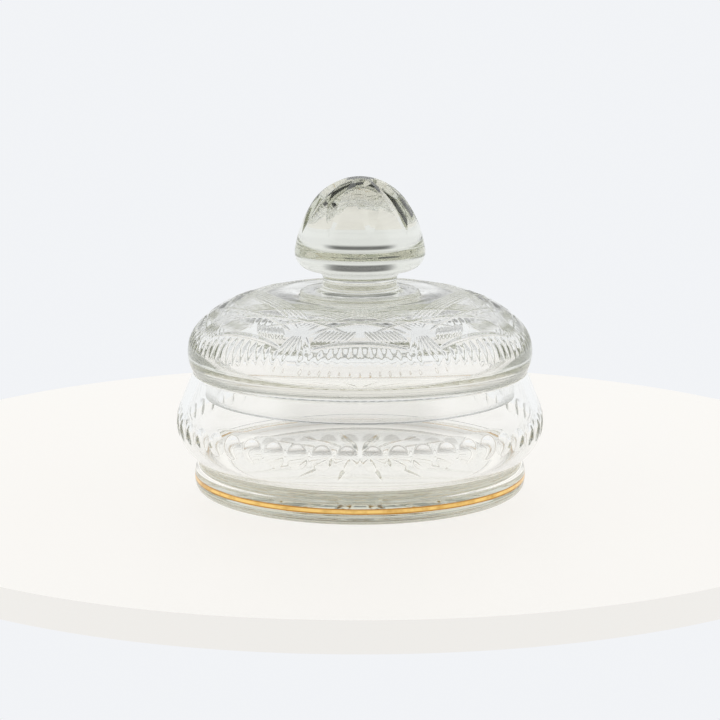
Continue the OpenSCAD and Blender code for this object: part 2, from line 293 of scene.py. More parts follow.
def arc(centre, radius, start, end):
    """Points of a profile on an arc, from one angle above horizontal to another."""
    steps = max(2, int(radius * abs(math.radians(end - start)) / STEP))
    angles = np.radians(np.linspace(start, end, steps + 1))
    return np.asarray(centre) + radius * np.column_stack([np.cos(angles), np.sin(angles)])


def point(r, z):
    """One point of a profile."""
    return np.array([r, z], float)


def points(*pairs):
    """Corner points of a profile."""
    return np.array(pairs, float)


class Profile:
    """Outline of a turned piece, walked from the axis out and back, with softened edges."""

    def __init__(self, spans, soft):
        """spans are (name, points) in order. soft is how far the edges are worn."""
        rough = np.vstack([span for _, span in spans])
        along = np.concatenate([[0], np.cumsum(np.hypot(*np.diff(rough, axis=0).T))])
        self.s = np.linspace(0, along[-1], int(along[-1] / STEP) + 1)
        r = np.interp(self.s, along, rough[:, 0])
        z = np.interp(self.s, along, rough[:, 1])
        reach = int(BELL_REACH * soft / STEP)
        bell = np.exp(-0.5 * (np.arange(-reach, reach + 1) * STEP / soft) ** 2)
        bell /= bell.sum()
        before, after = slice(reach, 0, -1), slice(-2, -reach - 2, -1)
        self.r = np.convolve(np.concatenate([-r[before], r, -r[after]]), bell, "valid")
        self.z = np.convolve(np.concatenate([z[before], z, z[after]]), bell, "valid")
        self.r[[0, -1]] = 0
        slope = np.hypot(np.gradient(self.r), np.gradient(self.z))
        self.out_r = -np.gradient(self.z) / slope
        self.out_z = np.gradient(self.r) / slope
        ends = np.cumsum([len(span) for _, span in spans])
        self.marks = {
            name: (along[end - len(span)], along[end - 1]) for (name, span), end in zip(spans, ends)
        }

    def start(self, name):
        """Distance along the outline where a span starts."""
        return self.marks[name][0]

    def end(self, name):
        """Distance along the outline where a span ends."""
        return self.marks[name][1]

    def where(self, name, r=None, z=None):
        """Distance along the outline where a span has that radius or that height."""
        inside = (self.s >= self.start(name)) & (self.s <= self.end(name))
        miss = np.abs(self.r[inside] - r) if z is None else np.abs(self.z[inside] - z)
        return self.s[inside][np.argmin(miss)]

    def place(self, bearing, s):
        """Points in space at a bearing in degrees and a distance along the outline."""
        r, z = np.interp(s, self.s, self.r), np.interp(s, self.s, self.z)
        turn = np.radians(bearing)
        return np.stack(np.broadcast_arrays(r * np.sin(turn), -r * np.cos(turn), z), axis=-1)

    def outward(self, bearing, s):
        """Unit vectors that point out of the piece at those places."""
        r, z = np.interp(s, self.s, self.out_r), np.interp(s, self.s, self.out_z)
        turn = np.radians(bearing)
        return np.stack(np.broadcast_arrays(r * np.sin(turn), -r * np.cos(turn), z), axis=-1)


class Cutting:
    """How deep the cuts go over a zone of a turned piece."""

    def __init__(self, surface, flank):
        self.surface = surface
        self.depth = np.zeros(surface.shape[:-1])
        self.spread = math.tan(math.radians(flank))

    def mitre(self, path, depths, flank=None):
        """Cuts a V along a path of points on the surface, as deep as depths says at each."""
        path, depths = np.asarray(path), np.asarray(depths)
        spread = math.tan(math.radians(flank)) if flank else self.spread
        margin = depths.max() * spread
        near = np.all(
            (self.surface > path.min(0) - margin) & (self.surface < path.max(0) + margin), axis=-1
        )
        spots, best = self.surface[near], self.depth[near]
        for a, b, deep_a, deep_b in zip(path, path[1:], depths, depths[1:]):
            run = b - a
            part = np.clip((spots - a) @ run / (run @ run), 0, 1)
            miss = np.linalg.norm(spots - a - part[:, None] * run, axis=1)
            best = np.maximum(best, deep_a + (deep_b - deep_a) * part - miss / spread)
        self.depth[near] = best


def wheel_depths(depth, samples):
    """Depths along a wheel cut, from nothing at one end to nothing at the other."""
    return depth * (1 - np.linspace(-1, 1, samples) ** 2)


# stretch of an outline: where it starts and ends, distance between its rows, vertices round it, cuts
Zone = namedtuple("Zone", "start end step columns cut")


def stitch(first, lower):
    """Triangles between two closed rings of vertices that start at the same bearing."""
    faces, i, j = [], 0, 0
    while i < len(first) or j < len(lower):
        a, b = first[i % len(first)], lower[j % len(lower)]
        if j == len(lower) or (i < len(first) and (i + 1) * len(lower) <= (j + 1) * len(first)):
            i += 1
            faces.append((a, b, first[i % len(first)]))
        else:
            j += 1
            faces.append((a, b, lower[j % len(lower)]))
    return np.array(faces)


def softened(depth):
    """Depths of the cuts with their edges polished a little."""
    depth = (np.roll(depth, 1, axis=1) + 2 * depth + np.roll(depth, -1, axis=1)) / 4
    rows = np.pad(depth, ((1, 1), (0, 0)), mode="edge")
    return (rows[:-2] + 2 * rows[1:-1] + rows[2:]) / 4


def turned_mesh(name, profile, zones, marks=None):
    """A closed mesh turned from a profile, in zones with their own columns and cuts."""
    verts, quads, tris, shade = [np.zeros((1, 3))], [], [], [np.zeros(1)]
    verts[0][0] = profile.place(0, 0.0)
    used, ring = 1, None
    for zone in zones:
        rows = max(2, int(round((zone.end - zone.start) / zone.step)))
        s = zone.start + (np.arange(rows) + 0.5) * (zone.end - zone.start) / rows
        bearing = np.arange(zone.columns) * 360 / zone.columns
        surface = profile.place(bearing[None, :], s[:, None])
        if zone.cut:
            surface = surface - softened(zone.cut(surface))[..., None] * profile.outward(
                bearing[None, :], s[:, None]
            )
        index = used + np.arange(rows * zone.columns).reshape(rows, zone.columns)
        right = np.roll(index, -1, axis=1)
        quads.append(
            np.stack([index[:-1], index[1:], right[1:], right[:-1]], axis=-1).reshape(-1, 4)
        )
        if ring is None:
            tris.append(np.column_stack([np.zeros(zone.columns, int), index[0], right[0]]))
        else:
            tris.append(stitch(ring, index[0]))
        verts.append(surface.reshape(-1, 3))
        mark = marks(s) if marks else np.zeros(rows)
        shade.append(np.repeat(mark, zone.columns))
        used += rows * zone.columns
        ring = index[-1]
    verts.append(profile.place(0, profile.s[-1])[None, :])
    shade.append(np.zeros(1))
    tris.append(np.column_stack([ring, np.full(len(ring), used), np.roll(ring, -1)]))
    mesh = fill_mesh(name, np.vstack(verts), np.vstack(quads), np.vstack(tris))
    mesh.attributes.new("ground", "FLOAT", "POINT").data.foreach_set(
        "value", np.concatenate(shade).astype(np.float32)
    )
    return mesh


def fill_mesh(name, verts, quads, tris):
    """A smooth mesh from arrays of vertices, quads and triangles."""
    mesh = bpy.data.meshes.new(name)
    mesh.vertices.add(len(verts))
    mesh.vertices.foreach_set("co", verts.astype(np.float32).ravel())
    loops = np.concatenate([quads.ravel(), tris.ravel()])
    mesh.loops.add(len(loops))
    mesh.loops.foreach_set("vertex_index", loops.astype(np.int32))
    starts = np.concatenate(
        [np.arange(len(quads)) * 4, len(quads) * 4 + np.arange(len(tris)) * 3]
    )
    mesh.polygons.add(len(starts))
    mesh.polygons.foreach_set("loop_start", starts.astype(np.int32))
    mesh.polygons.foreach_set("use_smooth", np.ones(len(starts), bool))
    mesh.update(calc_edges=True)
    if mesh.validate():
        raise RuntimeError(f"the mesh of {name} was not sound")
    return mesh


def make_piece(name, mesh, material, body, slot, *nodes):
    """Adds a mesh as a piece that rides on a body and stands for those CAD nodes."""
    mesh.materials.append(material)
    piece = bpy.data.objects.new(name, mesh)
    bpy.context.scene.collection.objects.link(piece)
    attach(piece, body)
    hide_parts(*nodes)
    return piece


def foot_radius():
    """Outside radius of the foot, which the gold line is flush with."""
    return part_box("gold_line")[1].x


def rim_height():
    """Height of the bowl's rim."""
    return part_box("bowl")[1].z


def belly_radius():
    """Outside radius of the bowl at its belly."""
    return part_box("bowl")[1].x


def radius_at_rim(form, widest, curve):
    """Radius at the rim of a face that leaves an arc of the belly at the shoulder's lean."""
    lean = math.radians(form.shoulder_lean)
    leaves_r = widest - curve + curve * math.cos(lean)
    leaves_z = form.belly_z + curve * math.sin(lean)
    return leaves_r - (rim_height() - leaves_z) * math.tan(lean)


def mouth_radius(form):
    """Radius of the bowl's mouth at the rim."""
    return radius_at_rim(form, belly_radius() - form.wall, form.floor_curve)


def rim_radius(form):
    """Outside radius of the bowl's rim."""
    return radius_at_rim(form, belly_radius(), form.belly_curve)


def bowl_profile(form, soft):
    """Outline of the bowl, from the middle of its floor over the rim to the middle underneath."""
    rim_z, foot_r = rim_height(), foot_radius()
    belly_at = point(belly_radius() - form.belly_curve, form.belly_z)
    inner_at = point(belly_radius() - form.wall - form.floor_curve, form.belly_z)
    plain_floor = 0.9 * inner_at[0]  # outside this the rows are finer
    under_corner = 0.99 * form.hollow_r  # just inside the corner of the hollow
    floor_on = math.degrees(math.asin((form.floor_z - form.belly_z) / form.floor_curve))
    groove_r = foot_r - form.groove_depth + form.groove_curve
    groove_at = point(groove_r, form.foot_h + form.groove_curve)
    to_groove = groove_at - belly_at
    meet = math.degrees(math.atan2(to_groove[1], to_groove[0]))
    top = form.foot_top_round
    foot_end = 180 + math.degrees(
        math.acos((form.groove_curve - form.groove_depth + top) / (form.groove_curve + top))
    )
    top_at = groove_at + (form.groove_curve + top) * aim(foot_end)
    edge_at = point(foot_r - form.foot_round, form.foot_round)
    return Profile(
        [
            ("floor", points((0, form.floor_z), (plain_floor, form.floor_z))),
            ("inside", arc(inner_at, form.floor_curve, floor_on, form.shoulder_lean)),
            ("rim", points((mouth_radius(form), rim_z), (rim_radius(form), rim_z))),
            ("belly", arc(belly_at, form.belly_curve, form.shoulder_lean, meet)),
            ("groove", arc(groove_at, form.groove_curve, 180 + meet, foot_end)),
            ("foot_top", arc(top_at, top, foot_end - 180, 0)),
            ("foot", arc(edge_at, form.foot_round, 0, -90)),
            ("ring", points((form.hollow_r, 0), (form.hollow_r, form.hollow_depth))),
            ("under", points((under_corner, form.hollow_depth), (0, form.hollow_depth))),
        ],
        soft,
    )


def knob_spans(knob):
    """Spans of the knob's outline, from its tip down to its collar."""
    low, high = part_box("knob")
    edge_at = point(high.x - knob.edge, low.z + knob.rise)
    side_on = edge_at + knob.edge * aim(knob.lean)
    # the side's radius is the one that lets the tip's arc, centred on the axis, end at the top
    lever = point((1 - aim(knob.turn)[1]) / aim(knob.turn)[0], 1)
    side = (high.z - side_on @ lever) / ((aim(knob.turn) - aim(knob.lean)) @ lever)
    side_at = side_on - side * aim(knob.lean)
    tip = (side_at + side * aim(knob.turn))[0] / aim(knob.turn)[0]
    neck_at = point(knob.neck_r + knob.neck_curve, low.z + knob.collar_t + knob.neck_curve)
    # the underside runs straight from the top of the neck's arc to where it touches the edge's arc
    to_edge = edge_at - neck_at - point(0, knob.neck_curve)
    slope = math.atan2(to_edge[1], to_edge[0]) - math.asin(knob.edge / np.hypot(*to_edge))
    bead = knob.collar_t / 2
    bead_at = point(knob.collar_r - bead, low.z + bead)
    return [
        ("tip", arc((0, high.z - tip), tip, 90, knob.turn)),
        ("side", arc(side_at, side, knob.turn, knob.lean)),
        ("edge", arc(edge_at, knob.edge, knob.lean, math.degrees(slope) - 90)),
        ("neck", arc(neck_at, knob.neck_curve, 90, 270)),
        ("collar", arc(bead_at, bead, 90, -45)),
    ]


def lid_profile(form, knob, bowl, soft):
    """Outline of lid and knob, from the knob's tip over the flange to the middle of the ceiling."""
    seat_z = rim_height() + form.seat_gap
    flange_z, flange_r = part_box("lid")[0].z, mouth_radius(bowl) - form.flange_fit
    flange_in = flange_r - form.flange_t
    shoulder_r = rim_radius(bowl) - math.sqrt(form.shoulder**2 - form.rise**2)
    shoulder_at = point(shoulder_r, rim_height() + form.rise)
    crown_at = shoulder_at - (form.crown_curve - form.shoulder) * aim(form.crown_turn)
    crown_in = form.crown_curve - form.wall
    inner_at = crown_at + (crown_in - form.inner_curve) * aim(form.crown_turn)
    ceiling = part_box("knob")[0].z - form.wall
    crown_start = knob.collar_r + knob.collar_t / 4  # just outside the collar
    crown_on = 90 + math.degrees(math.asin((crown_at[0] - crown_start) / form.crown_curve))
    seat_on = math.degrees(math.asin((seat_z - shoulder_at[1]) / form.shoulder))
    flange_on = -math.degrees(math.acos((flange_in - inner_at[0]) / form.inner_curve))
    ceiling_on = 180 - math.degrees(math.asin((ceiling - crown_at[1]) / crown_in))
    return Profile(
        [
            *knob_spans(knob),
            ("crown", arc(crown_at, form.crown_curve, crown_on, form.crown_turn)),
            ("shoulder", arc(shoulder_at, form.shoulder, form.crown_turn, seat_on)),
            ("seat", points((flange_r, seat_z))),
            ("flange", points((flange_r, flange_z), (flange_in, flange_z))),
            ("inside", arc(inner_at, form.inner_curve, flange_on, form.crown_turn)),
            ("ceiling", arc(crown_at, crown_in, form.crown_turn, ceiling_on)),
            ("middle", points((0, ceiling))),
        ],
        soft,
    )


def between(value, low, high, edge):
    """1 between low and high, falling to 0 over edge on either side."""
    return np.clip((value - low) / edge + 0.5, 0, 1) * np.clip((high - value) / edge + 0.5, 0, 1)


def cut_lenses(form, surface):
    """Depth of the row of lens cuts round the belly."""
    belly_r = belly_radius()
    pitch = 2 * math.pi / form.lens_count
    turn = np.arctan2(surface[..., 0], -surface[..., 1])
    across = belly_r * ((turn / pitch) % 1 - 0.5) * pitch
    up = surface[..., 2] - form.belly_z
    sagitta = across**2 / 2 * (1 / form.lens_wheel + 1 / belly_r) + up**2 / 2 / form.belly_curve
    return np.maximum(form.lens_depth - sagitta, 0)


def cut_star(form, profile, surface):
    """Depth of the star of rays under the base."""
    cutting = Cutting(surface, form.star_flank)
    ends = [profile.where("under", r=form.star_outer), profile.where("under", r=form.star_inner)]
    along = np.linspace(*ends, RAY_POINTS)
    for ray in range(form.star_rays):
        bearing = (ray + 0.5) * 360 / form.star_rays
        cutting.mitre(profile.place(bearing, along), wheel_depths(form.star_depth, RAY_POINTS))
    return cutting.depth


def cut_knob(knob, profile, surface):
    """Depth of the mitres that run down the knob's head."""
    cutting = Cutting(surface, knob.cut_flank)
    low = np.interp(-knob.cut_low, (-knob.turn, -knob.lean), profile.marks["side"])
    high = np.interp(-knob.cut_high, (-90, -knob.turn), profile.marks["tip"])
    along = high + (low - high) * np.linspace(0, 1, KNOB_POINTS) ** knob.cut_skew
    for cut in range(knob.cuts):
        bearing = knob.cut_first + cut * 360 / knob.cuts
        cutting.mitre(profile.place(bearing, along), wheel_depths(knob.cut_depth, KNOB_POINTS))
    return cutting.depth


class LidCutting:
    """The cut decoration on the lid's shoulder and crown."""

    def __init__(self, form, bowl, look, profile, surface):
        self.form, self.profile = form, profile
        self.cutting = Cutting(surface, look.mitre_flank)
        self.seat_r = rim_radius(bowl)
        self.vary = np.random.default_rng(SEED)

    def along(self, r):
        """Distance along the outline where crown or shoulder has that radius, above the widest part."""
        first, last = self.profile.start("crown"), self.profile.end("shoulder")
        inside = (self.profile.s >= first) & (self.profile.s <= last)
        s, radii = self.profile.s[inside], self.profile.r[inside]
        widest = np.argmax(radii)
        return np.interp(r, radii[:widest], s[:widest])

    def straight(self, bearing, reach, left, right, depth):
        """A mitre that runs straight in plan, square to the radius at a bearing."""
        across = np.linspace(left, right, LINE_POINTS)
        turn = bearing + np.degrees(np.arctan2(across, reach))
        self.cutting.mitre(
            self.profile.place(turn, self.along(np.hypot(reach, across))),
            wheel_depths(depth, LINE_POINTS),
        )

    def stroke(self, start, end, depth):
        """A short mitre between two places, given as (bearing, radius)."""
        bearing = np.linspace(start[0], end[0], STROKE_POINTS)
        s = np.linspace(self.along(start[1]), self.along(end[1]), STROKE_POINTS)
        depth *= self.vary.uniform(*HAND_DEPTHS)
        self.cutting.mitre(self.profile.place(bearing, s), wheel_depths(depth, STROKE_POINTS))

    def scallops(self):
        """Scallops with a comb of short flutes under each."""
        form = self.form
        reach = self.seat_r - form.scallop_inset
        half = reach * math.tan(math.pi / form.scallops) - form.scallop_gap / 2
        foot = self.profile.where("shoulder", z=rim_height() + form.rise + form.flute_foot)
        for scallop in range(form.scallops):
            middle = scallop * 360 / form.scallops
            self.straight(middle, reach, -half, half, form.scallop_depth)
            for flute in range(form.flutes):
                offset = (flute - (form.flutes - 1) / 2) * form.flute_pitch
                top = self.along(reach / math.cos(math.radians(offset))) + form.flute_top
                s = np.linspace(top, foot, FLUTE_POINTS)
                bearing = middle + offset + self.vary.normal(0, form.flute_waver)
                depth = form.flute_depth * self.vary.uniform(*HAND_DEPTHS)
                depths = wheel_depths(depth, FLUTE_POINTS)
                self.cutting.mitre(self.profile.place(bearing, s), depths, form.flute_flank)

    def star(self):
        """Long mitres that cross in a star, and bands of lines between every second point of it."""
        form = self.form
        reach, half = self.seat_r - form.mitre_inset, form.mitre_half
        for mitre in range(form.mitres):
            self.straight((mitre + 0.5) * 360 / form.mitres, reach, -half, half, form.mitre_depth)
        chord = form.points_r * math.cos(2 * math.pi / form.scallops)
        for band in range(form.scallops):
            bearing = (band + 0.5) * 360 / form.scallops
            for line in range(form.band_lines):
                inner = chord - line * form.band_pitch
                ends_r = form.points_r - form.band_draw * line * form.band_pitch
                part = math.sqrt(ends_r**2 - inner**2)
                depth = form.fine_depth if line else form.band_depth
                self.straight(bearing, inner, -part, part, depth)

    def sprays(self):
        """Rays that hang from the star between two scallops."""
        form = self.form
        pitch = 360 / form.scallops
        top, foot = form.points_r, self.seat_r - form.spray_foot
        for spray in range(form.scallops):
            middle = (spray + 0.5) * pitch
            for ray in range(form.spray_rays):
                offset = (ray / (form.spray_rays - 1) - 0.5) * form.spray_spread
                start = (middle + form.spray_gather * offset, top)
                self.stroke(start, (middle + offset, foot), form.fine_depth)

    def hatching(self):
        """Fields of fine parallel lines over the flanks of the scallops."""
        form = self.form
        pitch = 360 / form.scallops
        scallop_r = self.seat_r - form.scallop_inset
        for field in range(2 * form.scallops):
            side = 1 if field % 2 else -1
            middle = (field // 2) * pitch
            for line in range(form.hatch_lines):
                offset = form.hatch_first + line * form.hatch_pitch
                start = (middle + side * offset, scallop_r - form.hatch_top)
                end = (middle + side * (offset + form.hatch_lean), scallop_r - form.hatch_foot)
                self.stroke(start, end, form.fine_depth)

    def carve(self):
        """Depth of all the cuts together."""
        self.scallops()
        self.star()
        self.sprays()
        self.hatching()
        return self.cutting.depth


def link(tree, source, target):
    """Joins an output socket to an input socket."""
    tree.links.new(source, target)


def add_node(tree, kind, **values):
    """Adds a node and sets its properties, or its input sockets where the name has a capital."""
    node = tree.nodes.new(kind)
    for name, value in values.items():
        if name[0].isupper():
            node.inputs[name.replace("_", " ")].default_value = value
        else:
            setattr(node, name, value)
    return node


def film_group():
    """Node group of faint handling marks: a smear mask and fine scratches."""
    tree = bpy.data.node_groups.new("handling_film", "ShaderNodeTree")
    tree.interface.new_socket("Scale", in_out="INPUT", socket_type="NodeSocketFloat")
    tree.interface.new_socket("Smear", in_out="OUTPUT", socket_type="NodeSocketFloat")
    tree.interface.new_socket("Scratch", in_out="OUTPUT", socket_type="NodeSocketFloat")
    given, made = tree.nodes.new("NodeGroupInput"), tree.nodes.new("NodeGroupOutput")
    place = add_node(tree, "ShaderNodeTexCoord")
    smear = add_node(tree, "ShaderNodeTexNoise", Detail=3.0, Roughness=0.6)
    link(tree, place.outputs["Object"], smear.inputs["Vector"])
    link(tree, given.outputs["Scale"], smear.inputs["Scale"])
    soft = add_node(tree, "ShaderNodeMapRange", From_Min=0.45, From_Max=0.75)
    link(tree, smear.outputs["Fac"], soft.inputs["Value"])
    link(tree, soft.outputs["Result"], made.inputs["Smear"])
    stretch = add_node(tree, "ShaderNodeMapping", Scale=(1.0, 1.0, 14.0))
    link(tree, place.outputs["Object"], stretch.inputs["Vector"])
    scratch = add_node(tree, "ShaderNodeTexNoise", Scale=260.0, Detail=2.0)
    link(tree, stretch.outputs["Vector"], scratch.inputs["Vector"])
    thin = add_node(tree, "ShaderNodeMapRange", From_Min=0.62, From_Max=0.72)
    link(tree, scratch.outputs["Fac"], thin.inputs["Value"])
    link(tree, thin.outputs["Result"], made.inputs["Scratch"])
    return tree


def use_film(tree, group, scale):
    """Adds the handling film to a material."""
    node = tree.nodes.new("ShaderNodeGroup")
    node.node_tree = group
    node.inputs["Scale"].default_value = scale
    return node


def new_material(name):
    """An empty node material with its output."""
    material = bpy.data.materials.new(name)
    material.use_nodes = True
    tree = material.node_tree
    tree.nodes.clear()
    return material, tree, tree.nodes.new("ShaderNodeOutputMaterial")


def glass_material(name, look, density, film):
    """Clear crystal, grey-green where it is thick, with ground faces where the mesh marks them."""
    material, tree, output = new_material(name)
    glass = add_node(tree, "ShaderNodeBsdfPrincipled", IOR=look.glass_ior)
    glass.inputs["Transmission Weight"].default_value = 1.0
    marks = use_film(tree, film, scale=45.0)
    tone = add_node(tree, "ShaderNodeMix", data_type="RGBA")
    tone.inputs["A"].default_value = (1.0, 1.0, 1.0, 1)
    tone.inputs["B"].default_value = (*look.smear_tint, 1)
    link(tree, marks.outputs["Smear"], tone.inputs["Factor"])
    link(tree, tone.outputs["Result"], glass.inputs["Base Color"])
    ground = add_node(tree, "ShaderNodeAttribute", attribute_name="ground")
    polished = add_node(tree, "ShaderNodeMapRange", To_Min=0.0, To_Max=look.smear_rough)
    link(tree, marks.outputs["Smear"], polished.inputs["Value"])
    rough = add_node(tree, "ShaderNodeMix", data_type="FLOAT")
    link(tree, ground.outputs["Fac"], rough.inputs["Factor"])
    link(tree, polished.outputs["Result"], rough.inputs["A"])
    rough.inputs["B"].default_value = look.ground_rough
    link(tree, rough.outputs["Result"], glass.inputs["Roughness"])
    link(tree, glass.outputs["BSDF"], output.inputs["Surface"])
    body = add_node(tree, "ShaderNodeVolumeAbsorption")
    body.inputs["Color"].default_value = (*look.glass_tint, 1)
    body.inputs["Density"].default_value = density
    link(tree, body.outputs["Volume"], output.inputs["Volume"])
    return material


def gold_material(look, film):
    """Fired gold, burnished, with painted shade that darkens it towards the line's edges, and darker
    where it is smeared.
    """
    material, tree, output = new_material("fired_gold")
    metal = add_node(tree, "ShaderNodeBsdfPrincipled", Metallic=1.0)
    marks = use_film(tree, film, scale=120.0)
    low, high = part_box("gold_line")
    place = add_node(tree, "ShaderNodeTexCoord")
    parts = add_node(tree, "ShaderNodeSeparateXYZ")
    link(tree, place.outputs["Object"], parts.inputs["Vector"])
    off = add_node(tree, "ShaderNodeMath", operation="SUBTRACT")
    link(tree, parts.outputs["Z"], off.inputs[0])
    off.inputs[1].default_value = (low.z + high.z) / 2
    away = add_node(tree, "ShaderNodeMath", operation="ABSOLUTE")
    link(tree, off.outputs["Value"], away.inputs[0])
    # painted shade: the gold turns from its burnished colour to the dark one from the line's middle out
    # to its edges; a smear darkens it too
    edges = soft_step(tree, away.outputs["Value"], look.gold_shade_start, look.gold_shade_full)
    worn = add_node(tree, "ShaderNodeMath", operation="MAXIMUM")
    link(tree, edges, worn.inputs[0])
    link(tree, marks.outputs["Smear"], worn.inputs[1])
    tone = add_node(tree, "ShaderNodeMix", data_type="RGBA")
    tone.inputs["A"].default_value = (*look.gold_light, 1)
    tone.inputs["B"].default_value = (*look.gold_edge_shade_and_smear, 1)
    link(tree, worn.outputs["Value"], tone.inputs["Factor"])
    link(tree, tone.outputs["Result"], metal.inputs["Base Color"])
    rough = add_node(tree, "ShaderNodeMapRange", To_Min=look.gold_polish, To_Max=look.gold_scratch)
    link(tree, marks.outputs["Scratch"], rough.inputs["Value"])
    link(tree, rough.outputs["Result"], metal.inputs["Roughness"])
    link(tree, metal.outputs["BSDF"], output.inputs["Surface"])
    return material


def disc_material(stage, film):
    """Matt white turntable, a little smeared, which light comes through, with painted shade at its side
    and a painted pool of light under the base.
    """
    material, tree, output = new_material("turntable_white")
    paint = add_node(tree, "ShaderNodeBsdfPrincipled", Roughness=0.55)
    marks = use_film(tree, film, scale=6.0)
    tone = add_node(tree, "ShaderNodeMix", data_type="RGBA")
    white = Vector(stage.disc_tint) * stage.disc_paint
    tone.inputs["A"].default_value = (*white, 1)
    tone.inputs["B"].default_value = (*(stage.disc_smear * white), 1)
    link(tree, marks.outputs["Smear"], tone.inputs["Factor"])
    link(tree, tone.outputs["Result"], paint.inputs["Base Color"])
    paint.inputs["Emission Color"].default_value = (*stage.disc_tint, 1)
    # painted shade: the glow falls from the disc's top to its side, by the way the surface faces
    normal = add_node(tree, "ShaderNodeNewGeometry")
    parts = add_node(tree, "ShaderNodeSeparateXYZ")
    link(tree, normal.outputs["Normal"], parts.inputs["Vector"])
    glow = add_node(tree, "ShaderNodeMapRange", To_Max=stage.disc_glow)
    glow.inputs["To Min"].default_value = stage.disc_side_shade * stage.disc_glow
    link(tree, parts.outputs["Z"], glow.inputs["Value"])
    level = add_node(tree, "ShaderNodeVectorMath", operation="MULTIPLY")
    level.inputs[1].default_value = (1, 1, 0)
    link(tree, normal.outputs["Position"], level.inputs[0])
    reach = add_node(tree, "ShaderNodeVectorMath", operation="LENGTH")
    link(tree, level.outputs["Vector"], reach.inputs[0])
    # painted pool of light: the disc glows brighter in a round patch under the bowl's base
    edge = (stage.painted_base_pool_r, stage.painted_base_pool_r - stage.painted_base_pool_fade)
    pool_gain = add_node(tree, "ShaderNodeMapRange", To_Min=1.0, To_Max=stage.painted_base_pool)
    link(tree, soft_step(tree, reach.outputs["Value"], *edge), pool_gain.inputs["Value"])
    light = add_node(tree, "ShaderNodeMath", operation="MULTIPLY")
    link(tree, glow.outputs["Result"], light.inputs[0])
    link(tree, pool_gain.outputs["Result"], light.inputs[1])
    link(tree, light.outputs["Value"], paint.inputs["Emission Strength"])
    link(tree, paint.outputs["BSDF"], output.inputs["Surface"])
    return material


def shared_film():
    """The handling film, made once."""
    return bpy.data.node_groups.get("handling_film") or film_group()


class CANDYBOX_OT_bowl(Operator):
    """Builds the footed bowl"""

    bl_idname = "candy_box.bowl"
    bl_label = "Build bowl"

    def execute(self, context):
        form, look = context.scene.candy_bowl, context.scene.candy_look
        profile = bowl_profile(form, look.edge_soft)
        lens_top = profile.where("belly", z=form.belly_z + LENS_HALF)
        lens_foot = profile.where("belly", z=form.belly_z - LENS_HALF)
        star_on = profile.where("under", r=form.star_outer + STAR_MARGIN)

        def star_cuts(at):
            return cut_star(form, profile, at)

        zones = [
            Zone(0, profile.end("floor"), 1.0 * MM, RING, None),
            Zone(profile.end("floor"), lens_top, 0.35 * MM, RING, None),
            Zone(lens_top, lens_foot, 0.3 * MM, 4 * RING, lambda at: cut_lenses(form, at)),
            Zone(lens_foot, profile.end("ring"), 0.2 * MM, RING, None),
            Zone(profile.end("ring"), star_on, 0.4 * MM, RING, None),
            Zone(star_on, profile.s[-1], 0.4 * MM, 2 * RING, star_cuts),
        ]
        rim = profile.marks["rim"]
        mesh = turned_mesh(
            "bowl_glass", profile, zones, lambda s: RIM_GROUND * between(s, *rim, RIM_FADE)
        )
        material = glass_material("crystal_bowl", look, look.bowl_density, shared_film())
        make_piece("bowl_glass", mesh, material, "bowl", "crystal", "bowl")
        return {"FINISHED"}


class CANDYBOX_OT_lid(Operator):
    """Builds the lid and the knob joined to it"""

    bl_idname = "candy_box.lid"
    bl_label = "Build lid"

    def execute(self, context):
        scene = context.scene
        form, knob, bowl = scene.candy_lid, scene.candy_knob, scene.candy_bowl
        look = scene.candy_look
        profile = lid_profile(form, knob, bowl, look.edge_soft)
        head_on = profile.where("tip", r=BARE_TIP)
        crown_on = profile.where("crown", r=CROWN_CUTS)
        shoulder_off = profile.where("shoulder", z=rim_height() + form.rise + SHOULDER_CUTS)

        def knob_cuts(at):
            return cut_knob(knob, profile, at)

        def lid_cuts(at):
            return LidCutting(form, bowl, look, profile, at).carve()

        zones = [
            Zone(0, head_on, 0.3 * MM, RING, None),
            Zone(head_on, profile.end("side"), 0.2 * MM, 3 * RING, knob_cuts),
            Zone(profile.end("side"), crown_on, 0.3 * MM, RING, None),
            Zone(crown_on, shoulder_off, 0.28 * MM, 4 * RING, lid_cuts),
            Zone(shoulder_off, profile.start("inside"), 0.2 * MM, RING, None),
            Zone(profile.start("inside"), profile.end("ceiling"), 0.4 * MM, RING, None),
            Zone(profile.end("ceiling"), profile.s[-1], 1.0 * MM, RING, None),
        ]
        ground = (profile.start("flange") - FLANGE_OUTSIDE, profile.end("flange") + FLANGE_INSIDE)
        mesh = turned_mesh("lid_glass", profile, zones, lambda s: between(s, *ground, FLANGE_FADE))
        material = glass_material("crystal_lid", look, look.lid_density, shared_film())
        make_piece("lid_glass", mesh, material, "lid", "crystal", "lid", "knob")
        return {"FINISHED"}


